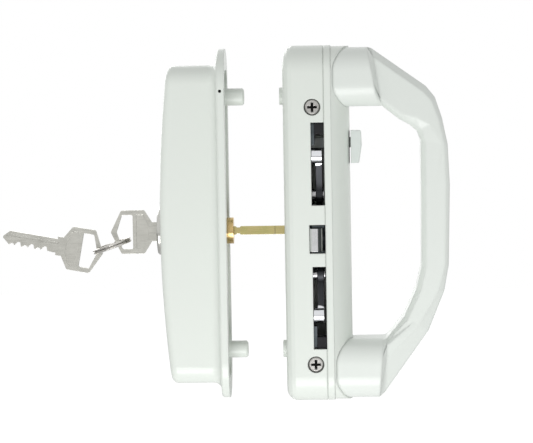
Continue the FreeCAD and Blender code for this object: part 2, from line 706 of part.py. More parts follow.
def make_case_cover():
    """Steel plate over the bars that carries the hooks; two cheeks fold up at the edge."""
    body = new_body("case_cover")
    plate = sketch_on(body, "YZ_Plane", "sizes.cover_base")
    rectangle(plate, "-sizes.house_wide / 2 + sizes.house_wall + sizes.slide_clear", "sizes.case_wide / 2",
              "sizes.mech_height - sizes.slot_far + 0.5", "sizes.mech_height + sizes.slot_far")
    pad(body, plate, "sizes.cover_sheet")
    cuts = sketch_on(body, "YZ_Plane", "sizes.cover_base + sizes.cover_sheet")
    circle(cuts, "0", "sizes.hub_height", "sizes.journal_rad + sizes.run_clear")
    for side in (1, -1):
        circle(cuts, "sizes.hook_pivot_y", f"sizes.mech_height + {side} * sizes.hook_pivot_reach",
               "sizes.pivot_rad")
    pocket(body, cuts, "sizes.cover_sheet")
    half = "(sizes.drive_rad + 2 * sizes.slide_clear)"
    drive = "(sizes.hook_pivot_y + sizes.fork_long)"
    for side in (1, -1):
        slot = sketch_on(body, "YZ_Plane", "sizes.cover_base + sizes.cover_sheet")
        middle = f"sizes.mech_height + {side} * sizes.hook_pivot_reach"
        rectangle(slot, f"{drive} - {half}", f"{drive} + {half}",
                  f"{middle} - sizes.throw_long / 2 - {half}",
                  f"{middle} + sizes.throw_long / 2 + {half}")
        pocket(body, slot, "sizes.cover_sheet")
    lever = sketch_on(body, "YZ_Plane", "sizes.cover_base + sizes.cover_sheet")
    rectangle(lever, "-sizes.stem_wide / 2 - 2 * sizes.slide_clear",
              "sizes.stem_wide / 2 + 2 * sizes.slide_clear",
              "sizes.lever_height + sizes.stem_lift - sizes.stem_tall / 2 - sizes.throw_long - 0.6",
              "sizes.lever_height + sizes.stem_lift + sizes.stem_tall / 2 + 0.6")
    pocket(body, lever, "sizes.cover_sheet")
    bay = sketch_on(body, "YZ_Plane", "sizes.cover_base + sizes.cover_sheet")
    rectangle(bay, "-sizes.house_wide / 2", "-sizes.journal_rad - 1.65",
              "sizes.window_height - sizes.window_tall / 2 - 0.2",
              "sizes.window_height + sizes.window_tall / 2 + 0.2")
    pocket(body, bay, "sizes.cover_sheet")
    for side in (1, -1):
        cheek = sketch_on(body, "YZ_Plane", "sizes.cover_base + sizes.cover_sheet")
        low = f"sizes.mech_height + {side} * (sizes.slot_far - 11)"
        high = f"sizes.mech_height + {side} * (sizes.slot_far - 0.6)"
        rectangle(cheek, "-sizes.house_wide / 2 + sizes.house_wall + sizes.slide_clear",
                  "-sizes.house_wide / 2 + sizes.cheek_wide", low, high)
        pad(body, cheek, "sizes.cheek_tall")
    return body


def make_end_bumpers():
    """Two black rubber blocks on the cheeks, where the hooks' slots end."""
    body = new_body("end_bumpers")
    low_y = "-sizes.house_wide / 2 + sizes.bumper_inset"
    for side in (1, -1):
        sketch = sketch_on(body, "YZ_Plane", "sizes.cover_base + sizes.cover_sheet + sizes.cheek_tall")
        rectangle(sketch, low_y, f"{low_y} + sizes.bumper_deep",
                  f"sizes.mech_height + {side} * (sizes.slot_far - sizes.bumper_tall - sizes.slide_clear)",
                  f"sizes.mech_height + {side} * (sizes.slot_far - sizes.slide_clear)")
        pad(body, sketch, "sizes.house_deep - sizes.slide_clear - sizes.cover_base - sizes.cover_sheet"
            " - sizes.cheek_tall")
    return body


def make_case_rivets():
    """Four shouldered rivets that hold case and cover together."""
    pieces = []
    base = value("sizes.case_base + sizes.case_sheet")
    top = value("sizes.cover_base")
    side = value("sizes.case_wide / 2 - sizes.rivet_side")
    high = value("sizes.case_up - sizes.rivet_end")
    low = value("sizes.rivet_end - sizes.case_down")
    for y, z in ((side, high), (-side, high), (side, low), (-side, low)):
        pieces.append(x_rod(base, y, z, value("sizes.rivet_rad"), top - base))
    return solid("case_rivets", Part.makeCompound(pieces))


def make_case_screws():
    """Two short screws that hold the case to the housing floor."""
    pieces = []
    floor = value("sizes.house_floor")
    seat = value("sizes.case_base + sizes.case_sheet")
    y = value("sizes.case_screw_y")
    for z in (value("sizes.case_up - sizes.case_screw_end"), value("sizes.case_screw_end - sizes.case_down")):
        head = x_rod(seat, y, z, value("sizes.case_head_rad"), value("sizes.case_head_tall"))
        shank = x_rod(floor, y, z, value("sizes.case_screw_rad"), seat - floor)
        pieces.append(head.fuse(shank).removeSplitter())
    return solid("case_screws", Part.makeCompound(pieces))


def tooth_outline(rad_root, rad_tip, play):
    """Points of one gear tooth about +Y, its flanks on an involute."""
    base = pitch_rad * math.cos(math.radians(20))
    teeth = value("sizes.gear_teeth")

    def roll(rad):
        angle = math.acos(min(1, base / rad))
        return math.tan(angle) - angle

    half_pitch = math.pi / (2 * teeth) - play / (2 * pitch_rad) + roll(pitch_rad)
    radii = [rad_root] + [base + (rad_tip - base) * i / 4 for i in range(5)]
    flank = [(rad, half_pitch - roll(max(rad, base))) for rad in radii]
    upper = [Vector(rad * math.cos(a), rad * math.sin(a), 0) for rad, a in flank]
    lower = [Vector(rad * math.cos(a), -rad * math.sin(a), 0) for rad, a in reversed(flank)]
    return upper + lower


def make_hub_pinion():
    """Toothed hub that the tailpiece turns; it drives both bars."""
    body = new_body("hub_pinion")
    body.setExpression("Placement.Base.z", "sizes.hub_height")
    blank = sketch_on(body, "YZ_Plane", "sizes.bar_base - 0.4")
    circle(blank, "0", "0", "sizes.pitch_radius - 1.25 * sizes.gear_module")
    pad(body, blank, "sizes.bar_thick + 0.8")
    tooth = sketch_on(body, "YZ_Plane", "sizes.bar_base - 0.4")
    module = value("sizes.gear_module")
    spots = tooth_outline(pitch_rad - 1.6 * module, pitch_rad + 0.9 * module, value("sizes.tooth_play"))
    for i, spot in enumerate(spots):
        tooth.addGeometry(Part.LineSegment(spot, spots[(i + 1) % len(spots)]))
    first = pad(body, tooth, "sizes.bar_thick + 0.8")
    turns = body.newObject("PartDesign::PolarPattern", "hub_teeth")
    turns.Originals = [first]
    turns.Axis = (next(a for a in body.Origin.OriginFeatures if a.Role == "X_Axis"), [""])
    turns.Angle = 360
    turns.setExpression("Occurrences", "sizes.gear_teeth")
    body.Tip = turns
    doc.recompute()
    back = sketch_on(body, "YZ_Plane", "sizes.case_base - 0.3")
    circle(back, "0", "0", "sizes.journal_rad")
    pad(body, back, "sizes.cover_base + sizes.cover_sheet - 0.1 - sizes.case_base + 0.3")
    slot = sketch_on(body, "YZ_Plane", "sizes.case_base - 0.3")
    rectangle(slot, "-sizes.blade_thick / 2 - sizes.slide_clear", "sizes.blade_thick / 2 + sizes.slide_clear",
              "-sizes.blade_tall / 2 - sizes.slide_clear", "sizes.blade_tall / 2 + sizes.slide_clear")
    pocket(body, slot, "9.5", reverse=True)
    return body


def rack_bar(node, side, low, high, drive_z, arm):
    """A flat bar beside the hub with a row of rack teeth and an arm to its drive pin.

    side is +1 or -1 for the bar's place in Y; low and high are its ends in Z.
    """
    body = new_body(node)
    module = "sizes.gear_module"
    root = f"{side} * (sizes.pitch_radius + 1.15 * {module})"
    back = f"{side} * (sizes.case_wide / 2 - sizes.case_sheet - sizes.slide_clear)"
    bar = sketch_on(body, "YZ_Plane", "sizes.bar_base")
    rectangle(bar, root, back, low, high)
    pad(body, bar, "sizes.bar_thick")
    arms = sketch_on(body, "YZ_Plane", "sizes.bar_base")
    rectangle(arms, arm, f"{side} * (sizes.pitch_radius + 2)",
              f"{drive_z} - sizes.arm_tall / 2", f"{drive_z} + sizes.arm_tall / 2")
    pad(body, arms, "sizes.bar_thick")
    return body


def add_teeth(body, side, first_z, count):
    """Straight-flanked rack teeth, one sketched and the rest repeated along Z."""
    module = value("sizes.gear_module")
    play = value("sizes.tooth_play")
    slope = math.tan(math.radians(20))
    tip_y = side * (pitch_rad - 0.8 * module)
    root_y = side * (pitch_rad + 1.35 * module)
    pitch_half = math.pi * module / 4 - play / 2
    tip_half = pitch_half - 0.8 * module * slope
    root_half = pitch_half + 1.35 * module * slope
    sketch = sketch_on(body, "YZ_Plane", "sizes.bar_base")
    spots = [Vector(root_y, first_z - root_half, 0), Vector(tip_y, first_z - tip_half, 0),
             Vector(tip_y, first_z + tip_half, 0), Vector(root_y, first_z + root_half, 0)]
    for i, spot in enumerate(spots):
        sketch.addGeometry(Part.LineSegment(spot, spots[(i + 1) % 4]))
    first = pad(body, sketch, "sizes.bar_thick")
    row = body.newObject("PartDesign::LinearPattern", body.Name + "_teeth")
    row.Originals = [first]
    row.Direction = (next(a for a in body.Origin.OriginFeatures if a.Role == "Z_Axis"), [""])
    row.Length = math.pi * module * (count - 1)
    row.Occurrences = count
    body.Tip = row
    doc.recompute()


def make_thumb_bar():
    """Long bar that the thumb lever slides down; it turns the hub and the lower hook."""
    top = "sizes.lever_height + sizes.stem_lift + sizes.stem_tall / 2"
    low_drive = "sizes.mech_height - sizes.hook_pivot_reach + sizes.throw_long / 2"
    body = rack_bar("thumb_bar", 1, f"{low_drive} - sizes.arm_tall / 2", top, low_drive,
                    "sizes.hook_pivot_y + sizes.fork_long - sizes.drive_rad - 0.6")
    lever_arm = sketch_on(body, "YZ_Plane", "sizes.bar_base")
    rectangle(lever_arm, "-sizes.stem_wide / 2", "sizes.pitch_radius + 2",
              f"{top} - sizes.stem_tall", top)
    pad(body, lever_arm, "sizes.bar_thick")
    pitch = math.pi * value("sizes.gear_module")
    add_teeth(body, 1, hub_z - 1.5 * pitch, 7)
    return body


def make_upper_bar():
    """Short bar on the latch side of the hub that throws the upper hook."""
    drive_z = "sizes.mech_height + sizes.hook_pivot_reach - sizes.throw_long / 2"
    low = "sizes.hub_height - sizes.throw_long - 4.5"
    body = rack_bar("upper_bar", -1, low, f"{drive_z} + sizes.arm_tall / 2", drive_z,
                    "sizes.hook_pivot_y + sizes.fork_long + sizes.drive_rad + 0.6")
    pitch = math.pi * value("sizes.gear_module")
    add_teeth(body, -1, hub_z - 4 * pitch, 7)
    return body


def make_drive_pin(node, z):
    start = ("sizes.bar_base + sizes.bar_thick", "sizes.hook_pivot_y + sizes.fork_long", z)
    length = "sizes.hook_base + sizes.hook_thick - sizes.bar_base - sizes.bar_thick"
    return keep(rod(node, start, "sizes.drive_rad", length), node)


def hook_shape(side):
    """One hook in the plane of its swing: thick round nose, thinner arm, pivot eye and forked tail."""
    thick = value("sizes.hook_thick")
    arm_thick = value("sizes.hook_arm")
    lift = thick - arm_thick
    base = value("sizes.hook_base")
    nose = Vector(0, value("sizes.hook_nose_y - sizes.hook_pivot_y"),
                  value("sizes.hook_nose_reach - sizes.hook_pivot_reach"))
    nose_rad = value("sizes.hook_nose_rad")
    eye_rad = value("sizes.pivot_rad") + 2.9
    half_slot = value("sizes.drive_rad + sizes.fork_play")
    half_fork = half_slot + value("sizes.fork_wall")
    tail_end = fork_reach / math.cos(swing / 2) + 0.8
    along = Vector(0, nose.y, nose.z).normalize()
    across = Vector(0, -along.z, along.y)

    def slab(spots):
        return flat_face(*[spot + X_AXIS * lift for spot in spots]).extrude(X_AXIS * arm_thick)

    waist = value("sizes.hook_waist")
    arm = slab([across * waist, nose + across * waist, nose - across * waist, -across * waist])
    shape = x_rod(lift, 0, 0, eye_rad, arm_thick).fuse([arm, x_rod(0, nose.y, nose.z, nose_rad, thick)])
    turn = Rotation(X_AXIS, -value("sizes.hook_swing") / 2)
    tail = [Vector(0, 0, -half_fork), Vector(0, tail_end, -half_fork),
            Vector(0, tail_end, half_fork), Vector(0, 0, half_fork)]
    gap = [Vector(0, fork_reach - half_slot - 0.6, -half_slot), Vector(0, tail_end + 1, -half_slot),
           Vector(0, tail_end + 1, half_slot), Vector(0, fork_reach - half_slot - 0.6, half_slot)]
    shape = shape.fuse(slab([turn.multVec(spot) for spot in tail]))
    shape = shape.cut(slab([turn.multVec(spot) for spot in gap]))
    shape = shape.cut(x_rod(-1, 0, 0, value("sizes.pivot_rad + sizes.run_clear"), thick + 2))
    shape = shape.removeSplitter()
    if side < 0:
        shape = shape.mirror(Vector(0, 0, 0), Z_AXIS)
    pivot_z = value(f"sizes.mech_height + {side} * sizes.hook_pivot_reach")
    shape.translate(Vector(base, value("sizes.hook_pivot_y"), pivot_z))
    return shape


def make_hook_pivots():
    """Two shouldered rivets in the cover that the hooks turn on."""
    pieces = []
    base = value("sizes.cover_base")
    rest = value("sizes.cover_base + sizes.cover_sheet")
    eye = value("sizes.hook_base + sizes.hook_thick - sizes.hook_arm - sizes.slide_clear")
    wide = value("sizes.pivot_rad") + 1
    top = value("sizes.hook_base + sizes.hook_thick + sizes.slide_clear")
    for side in (1, -1):
        z = value(f"sizes.mech_height + {side} * sizes.hook_pivot_reach")
        y = value("sizes.hook_pivot_y")
        shank = x_rod(base, y, z, value("sizes.pivot_rad"), top - base)
        shoulder = x_rod(rest, y, z, wide, eye - rest)
        pieces.append(shank.fuse([shoulder, x_rod(top, y, z, wide, 0.6)]).removeSplitter())
    return solid("hook_pivots", Part.makeCompound(pieces))


def make_thumb_lever():
    """Thumb button on a stem; the stem is riveted to the thumb bar."""
    body = new_body("thumb_lever")
    crown = "sizes.house_deep + sizes.dome_crown"
    stem = sketch_on(body, "YZ_Plane", "sizes.bar_base + sizes.bar_thick")
    rectangle(stem, "-sizes.stem_wide / 2", "sizes.stem_wide / 2",
              "sizes.lever_height + sizes.stem_lift - sizes.stem_tall / 2",
              "sizes.lever_height + sizes.stem_lift + sizes.stem_tall / 2")
    pad(body, stem, f"{crown} + 1 - sizes.bar_base - sizes.bar_thick")
    button = sketch_on(body, "XZ_Plane", "-sizes.lever_wide / 2")
    low = "sizes.lever_height - sizes.lever_tall / 2"
    high = "sizes.lever_height + sizes.lever_tall / 2"
    outline(button, [
        (f"{crown} + 0.4", low), (f"{crown} + sizes.lever_proud - 1.4", low),
        (f"{crown} + sizes.lever_proud", f"{low} + sizes.lever_tall * 0.55"),
        (f"{crown} + sizes.lever_proud - 0.3", high), (f"{crown} + 0.4", high)])
    block = pad(body, button, "sizes.lever_wide")
    proud = value(crown + " + 2.5")
    dress(body, "Fillet", block,
          lambda e: e.BoundBox.XMin > proud - 2 and e.BoundBox.XMax > proud, "0.9")
    return body


def make_plunger():
    """Bevelled spring plunger that stands proud of the latch edge."""
    body = new_body("plunger")
    low_y = "-sizes.house_wide / 2 - sizes.plunger_proud"
    body_x = "sizes.house_deep - sizes.window_deep + 0.3"
    sketch = sketch_on(body, "XY_Plane", "sizes.window_height - sizes.plunger_tall / 2 - 0.4")
    outline(sketch, [
        (body_x, f"{low_y} + 1.2"), (f"{body_x} + 0.9", low_y),
        (f"{body_x} + 0.72 * sizes.plunger_thick", low_y),
        (f"{body_x} + sizes.plunger_thick + 0.7", f"{low_y} + 3.2"),
        (f"{body_x} + sizes.plunger_thick + 0.7", f"{low_y} + sizes.plunger_long"),
        (body_x, f"{low_y} + sizes.plunger_long")])
    pad(body, sketch, "sizes.plunger_tall")
    return body


def make_plunger_guide():
    """Bent bracket on the cover that the plunger and its spring sit in."""
    base = value("sizes.cover_base + sizes.cover_sheet")
    high_x = value("sizes.house_deep") - 0.6
    middle = value("sizes.window_height") - 0.4
    half = value("sizes.plunger_tall") / 2 + 0.25
    front = -wall_y + value("sizes.house_wall") + 2.6
    back = front + value("sizes.guide_long")
    walls = []
    for side in (1, -1):
        low = middle + side * half if side > 0 else middle - half - 1
        walls.append(Part.makeBox(high_x - base, back - front, 1, Vector(base, front, low)))
    walls.append(Part.makeBox(high_x - base, 1, 2 * half + 2, Vector(base, back - 1, middle - half - 1)))
    return solid("plunger_guide", walls[0].fuse(walls[1:]).removeSplitter())


def spring_between(low, high, radius, wire, turns, axis):
    """A coil spring from low to high, lofted through short flats of wire along its helix."""
    rise = (high - low).Length - wire
    steps = 12 * turns
    sides = 6
    rings = []
    for step in range(steps + 1):
        around = 2 * math.pi * step * turns / steps
        out = Vector(math.cos(around), math.sin(around), 0)
        middle = out * radius + Z_AXIS * (wire / 2 + rise * step / steps)
        ring = []
        for i in range(sides):
            angle = 2 * math.pi * i / sides
            ring.append(middle + out * (wire / 2 * math.cos(angle)) + Z_AXIS * (wire / 2 * math.sin(angle)))
        rings.append(Part.makePolygon(ring + [ring[0]]))
    coil = Part.makeLoft(rings, True, True)
    coil.Placement = Placement(low, Rotation(Z_AXIS, axis))
    return coil


def make_plunger_spring():
    tail = -wall_y - value("sizes.plunger_proud") + value("sizes.plunger_long")
    back = -wall_y + value("sizes.house_wall") + 1.6 + value("sizes.guide_long")
    x = value("sizes.house_deep - sizes.window_deep") + 0.5 + value("sizes.plunger_thick - 1.4")
    z = value("sizes.window_height") - 0.4
    shape = spring_between(Vector(x, tail, z), Vector(x, back, z), value("sizes.spring_rad"),
                           value("sizes.spring_wire"), 6, Y_AXIS)
    return solid("plunger_spring", shape)


# Outer half: pull, cylinder, keys

def make_outer_pull():
    """Die-cast outside pull: bowed hollow body on a round-ended flange, with two posts."""
    tall = value("sizes.pull_tall")
    half_y = value("sizes.pull_wide / 2")
    bow = value("sizes.pull_bow")
    flange_front = outer_face - value("sizes.flange_thick")
    corner_x = front_face + bow
    low = Vector(corner_x, -half_y, -tall / 2)
    high = Vector(corner_x, -half_y, tall / 2)
    arc = Part.Arc(low, Vector(front_face, -half_y, 0), high).toShape()
    back_high = Vector(flange_front, -half_y, tall / 2)
    back_low = Vector(flange_front, -half_y, -tall / 2)
    profile = Part.Face(Part.Wire([arc, Part.makeLine(high, back_high),
                                   Part.makeLine(back_high, back_low), Part.makeLine(back_low, low)]))
    body = profile.extrude(Vector(0, 2 * half_y, 0))
    corners = [edge for edge in body.Edges if runs_along(edge, X_AXIS)]
    body = body.makeFillet(value("sizes.pull_corner"), corners)
    rim = [edge for edge in body.Edges if edge.BoundBox.XMax < corner_x + 0.5]
    body = body.makeFillet(value("sizes.pull_edge"), rim)
    flange = round_slab(value("sizes.flange_wide / 2"), value("sizes.flange_tall / 2"),
                        value("sizes.flange_corner"), flange_front, outer_face)
    front_rim = [edge for edge in flange.Edges if lies_at(edge, 0, flange_front)]
    flange = flange.makeChamfer(value("sizes.flange_edge"), front_rim)
    shape = body.fuse(flange).removeSplitter()
    joint = [edge for edge in shape.Edges if lies_at(edge, 0, flange_front)
             and edge.BoundBox.YMin > -half_y - 0.1 and edge.BoundBox.YMax < half_y + 0.1
             and edge.BoundBox.ZMax < tall / 2 + 0.1 and edge.BoundBox.ZMin > -tall / 2 - 0.1]
    shape = shape.makeFillet(value("sizes.pull_flare"), joint)
    wall = value("sizes.pull_wall")
    room = round_slab(half_y - wall, tall / 2 - wall, value("sizes.pull_corner") - wall,
                      corner_x + wall, outer_face + 1)
    shape = shape.cut(room)
    post = value("sizes.post_rad")
    boss = value("sizes.barrel_rad + sizes.pull_wall") + 0.4
    front = corner_x + wall - 1
    for side in (1, -1):
        z = side * fix_up
        shape = shape.fuse(x_rod(front, 0, z, post + 1, outer_face - front - 0.8))
        tip = x_rod(outer_face - 2, 0, z, post, value("sizes.post_long") + 2)
        end = [edge for edge in tip.Edges if lies_at(edge, 0, outer_face + value("sizes.post_long"))]
        shape = shape.fuse(tip.makeChamfer(value("sizes.post_bevel"), end))
    shape = shape.fuse(x_rod(front, 0, hub_z, boss, value("sizes.barrel_boss")))
    for side in (1, -1):
        tip_x = outer_face + value("sizes.post_long")
        shape = shape.cut(x_rod(tip_x - 25, 0, side * fix_up, value("sizes.fix_thread_rad"), 26))
    shape = shape.cut(x_rod(front_face - 5, 0, hub_z, value("sizes.barrel_rad"), 40))
    pin_hole = Part.makeCylinder(0.75, 8, Vector(outer_face - 2, -value("sizes.flange_wide / 2") - 1,
                                                  fix_up + 3.3), Y_AXIS)
    shape = shape.cut(pin_hole)
    return solid("outer_pull", shape.removeSplitter())


def make_cylinder_body():
    """Brass barrel with a collar outside the pull."""
    rear = outer_face - 1.7
    plug = value("sizes.plug_rad + sizes.run_clear")
    barrel = x_rod(front_face, 0, hub_z, value("sizes.barrel_rad"), rear - front_face)
    collar = x_rod(front_face - value("sizes.collar_proud"), 0, hub_z, value("sizes.collar_rad"),
                   value("sizes.collar_proud"))
    edge = [e for e in collar.Edges if lies_at(e, 0, front_face - value("sizes.collar_proud"))]
    collar = collar.makeChamfer(value("sizes.collar_bevel"), edge)
    shape = barrel.fuse(collar).removeSplitter()
    shape = shape.cut(x_rod(front_face - 5, 0, hub_z, plug, 60))
    return solid("cylinder_body", shape)


def make_cylinder_nut():
    """Ring nut that clamps the barrel from inside the pull."""
    x = front_face + value("sizes.pull_bow + sizes.pull_wall") - 1 + value("sizes.barrel_boss")
    thick = value("sizes.nut_thick")
    ring = value("sizes.nut_ring")
    notch_wide = value("sizes.nut_notch")
    nut = x_rod(x, 0, hub_z, value("sizes.barrel_rad") + ring, thick)
    nut = nut.cut(x_rod(x - 1, 0, hub_z, value("sizes.barrel_rad"), thick + 2))
    for i in range(4):
        notch = Part.makeBox(thick + 2, notch_wide, ring,
                             Vector(x - 1, -notch_wide / 2, value("sizes.barrel_rad") + ring / 2))
        notch.rotate(Vector(0, 0, 0), X_AXIS, 45 + 90 * i)
        notch.translate(Vector(0, 0, hub_z))
        nut = nut.cut(notch)
    return solid("cylinder_nut", nut)


def make_cylinder_plug():
    """Brass plug that the key turns."""
    front = front_face - value("sizes.collar_proud") + 0.3
    rear = outer_face + value("sizes.plug_tail")
    plug = x_rod(front, 0, hub_z, value("sizes.plug_rad"), rear - front)
    half_slot = value("sizes.key_thick / 2") + 0.12
    half_key = value("sizes.key_blade / 2") + 0.3
    plug = plug.cut(Part.makeBox(value("sizes.key_long") + 1.5, 2 * half_slot, 2 * half_key,
                                 Vector(front - 1, -half_slot, hub_z - half_key)))
    half_thick = value("sizes.blade_thick / 2")
    half_tall = value("sizes.blade_tall / 2")
    plug = plug.cut(Part.makeBox(5, 2 * half_thick, 2 * half_tall,
                                 Vector(rear - 2.5, -half_thick, hub_z - half_tall)))
    groove = x_rod(outer_face - 1.7, 0, hub_z, value("sizes.plug_rad") + 1, 1.1)
    groove = groove.cut(x_rod(outer_face - 2, 0, hub_z, value("sizes.plug_rad") - 0.9, 2))
    return solid("cylinder_plug", plug.cut(groove))


def make_plug_clip():
    """Open spring clip in the plug's groove."""
    x = outer_face - 1.65
    clip = x_rod(x, 0, hub_z, value("sizes.plug_rad") + 1.1, 1)
    clip = clip.cut(x_rod(x - 1, 0, hub_z, value("sizes.plug_rad") - 0.9, 3))
    gap = Part.makeBox(3, 6, 12, Vector(x - 1, -3, hub_z - 12))
    return solid("plug_clip", clip.cut(gap))


def make_tailpiece():
    """Flat zinc-plated blade from the plug to the hub, scored so that it can be snapped short."""
    body = new_body("tailpiece")
    body.setExpression("Placement.Base.z", "sizes.hub_height")
    half = "sizes.blade_tall / 2"
    start = "-sizes.door_gap + sizes.plug_tail - 2.5"
    finish = "sizes.case_base + 8.5"
    sketch = sketch_on(body, "XZ_Plane", "-sizes.blade_thick / 2")
    outline(sketch, [
        (start, f"-{half}"), (f"{start} + 3.5", f"-{half}"), (f"{start} + 4", f"-{half} + 0.6"),
        (f"{start} + 5.5", f"-{half} + 0.6"), (f"{start} + 6", f"-{half}"),
        (f"{finish} - 0.8", f"-{half}"), (finish, f"-{half} + 0.8"), (finish, f"{half} - 0.8"),
        (f"{finish} - 0.8", half), (f"{start} + 6", half), (f"{start} + 5.5", f"{half} - 0.6"),
        (f"{start} + 4", f"{half} - 0.6"), (f"{start} + 3.5", half), (start, half)])
    pad(body, sketch, "sizes.blade_thick")
    score = sketch_on(body, "XZ_Plane", "sizes.blade_thick / 2")
    rectangle(score, "-5.4", "-4.9", f"-{half} - 0.1", f"{half} + 0.1")
    pocket(body, score, "0.3")
    return body


def key_shape(cuts):
    """A flat key with its shoulder at the origin, blade along +X and bow along -X."""
    thick = value("sizes.key_thick")
    half = value("sizes.bow_tall / 2")
    long = value("sizes.bow_long")
    blade = value("sizes.key_blade / 2")
    length = value("sizes.key_long")

    def plate(spots, low=-thick / 2, deep=thick):
        ring = [Vector(x, low, z) for x, z in spots]
        return Part.Face(Part.makePolygon(ring + [ring[0]])).extrude(Vector(0, deep, 0))

    neck = 3.0
    bow = plate([(-neck - long, 0), (-neck - long * 0.74, half), (-neck - long * 0.18, half),
                 (-neck, half * 0.45), (-neck, -half * 0.45), (-neck - long * 0.18, -half),
                 (-neck - long * 0.74, -half)])
    sharp = [edge for edge in bow.Edges if runs_along(edge, Y_AXIS)]
    bow = bow.makeFillet(1.2, sharp)
    frame = 2.3
    hole_right = -neck - long * 0.46
    hole = plate([(-neck - long + frame * 1.25, 0), (-neck - long * 0.72, half - frame),
                  (hole_right, half - frame), (hole_right, frame - half),
                  (-neck - long * 0.72, frame - half)], -thick, 2 * thick)
    hole = hole.makeFillet(0.8, [edge for edge in hole.Edges if runs_along(edge, Y_AXIS)])
    shape = bow.cut(hole)
    panel = [(hole_right + 1.8, half - frame), (-neck - long * 0.2, half - frame), (-neck - 1.6, half * 0.3),
             (-neck - 1.6, -half * 0.3), (-neck - long * 0.2, frame - half), (hole_right + 1.8, frame - half)]
    for low in (-thick / 2 - 0.1, thick / 2 - 0.25):
        shape = shape.cut(plate(panel, low, 0.35))
    shape = shape.fuse(plate([(-neck - 1, -blade - 1.2), (0, -blade - 1.2), (0, blade + 1.2),
                              (-neck - 1, blade + 1.2)]))
    edge_top = [(0, -blade), (length - 3, -blade), (length, -0.5), (length, 0.4)]
    step = (length - 7) / cuts
    teeth = []
    for i in range(cuts):
        x = length - 3.5 - i * step
        depth = blade - 0.5 - 0.55 * ((i * 2 + 1) % 4)
        teeth += [(x, depth + 0.9), (x - step * 0.3, depth), (x - step * 0.6, depth), (x - step * 0.8, blade - 0.2)]
    shape = shape.fuse(plate(edge_top + teeth + [(2, blade), (0, blade)]))
    for side in (1, -1):
        low = side * thick / 2 - 0.35
        shape = shape.cut(plate([(-0.6, -1.9), (length - 1.5, -1.9), (length - 1.5, -0.9), (-0.6, -0.9)], low, 0.7))
    return shape.removeSplitter()


def make_inserted_key():
    """The key in the lock, its flat face towards the latch edge."""
    made = solid("inserted_key", key_shape(5))
    shoulder = front_face - value("sizes.collar_proud") - 0.2
    made.Placement = Placement(Vector(shoulder, 0, hub_z), Rotation())
    return made


def ring_centre():
    """Middle of the split ring, so that it passes through the key's bow."""
    shoulder = front_face - value("sizes.collar_proud") - 0.2
    bow_hole = shoulder - 3 - value("sizes.bow_long") * 0.46 - value("sizes.ring_wire") * 2.6
    tilt = math.radians(value("sizes.ring_tilt"))
    radius = value("sizes.ring_rad")
    through = Vector(bow_hole, 0, hub_z - 3.6)
    return through - Vector(math.cos(tilt), 0, math.sin(tilt)) * radius


def make_key_ring():
    """Split ring: two turns of wire side by side, with a short step from one to the other."""
    wire = value("sizes.ring_wire")
    radius = value("sizes.ring_rad")
    lift = wire * 1.06
    steps = 28
    sides = 6
    rings = []
    for step in range(2 * steps + 1):
        share = step / steps
        side = 2 * min(1, max(0, (share - 0.93) / 0.14)) - 1
        around = 2 * math.pi * (share * 0.995 + 0.25)
        out = Vector(math.cos(around), math.sin(around), 0)
        ring = []
        for i in range(sides):
            angle = 2 * math.pi * (i + 0.5) / sides
            ring.append(out * (radius + wire * math.cos(angle)) + Z_AXIS * (side * lift + wire * math.sin(angle)))
        rings.append(Part.makePolygon(ring + [ring[0]]))
    made = solid("key_ring", Part.makeLoft(rings, True, True))
    made.Placement = Placement(ring_centre(), Rotation(Y_AXIS, -value("sizes.ring_tilt")))
    return made


def make_spare_key():
    """The second key, hung on the ring and laid out to the side."""
    made = solid("spare_key", key_shape(6))
    tilt = math.radians(value("sizes.ring_tilt"))
    crossing = ring_centre() - Vector(math.cos(tilt), 0, math.sin(tilt)) * value("sizes.ring_rad")
    lean = value("sizes.spare_tilt")
    hang = Vector(-3 - value("sizes.bow_long") + 2.9 + value("sizes.ring_wire") * 2.6, 0, 0)
    turn = Rotation(Y_AXIS, 180 + lean)
    made.Placement = Placement(crossing - turn.multVec(hang), turn)
    return made


make_inner_housing()
make_escutcheon_plate()
make_bail_pull()
make_edge_screws()
make_bail_screws()
make_lock_case()
make_case_cover()
make_end_bumpers()
make_case_rivets()
make_case_screws()
make_hub_pinion()
make_thumb_bar()
make_upper_bar()
make_drive_pin("lower_drive_pin", "sizes.mech_height - sizes.hook_pivot_reach + sizes.throw_long / 2")
make_drive_pin("upper_drive_pin", "sizes.mech_height + sizes.hook_pivot_reach - sizes.throw_long / 2")
solid("upper_hook", hook_shape(1))
solid("lower_hook", hook_shape(-1))
make_hook_pivots()
make_thumb_lever()
make_plunger()
make_plunger_guide()
make_plunger_spring()
make_outer_pull()
make_cylinder_body()
make_cylinder_nut()
make_cylinder_plug()
make_plug_clip()
make_tailpiece()
make_inserted_key()
make_key_ring()
make_spare_key()
doc.recompute()

for item in doc.Objects:
    if "Invalid" in item.State or "Error" in item.State:
        raise RuntimeError(f"{item.Label} did not build: {item.State}")
for item in parts:
    if item.Shape.isNull() or not item.Shape.isValid():
        raise RuntimeError(f"{item.Label} has no valid shape")

os.makedirs("parts", exist_ok=True)
for item in parts:
    item.Shape.exportStep(f"parts/{item.Label}.step")
    box_ = item.Shape.BoundBox
    print(f"{item.Label:18s} solids {len(item.Shape.Solids)} volume {item.Shape.Volume:9.1f}"
          f"  X {box_.XMin:7.2f} {box_.XMax:7.2f}  Y {box_.YMin:7.2f} {box_.YMax:7.2f}"
          f"  Z {box_.ZMin:7.2f} {box_.ZMax:7.2f}")
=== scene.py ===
import math

import bpy
from mathutils import Matrix, Vector


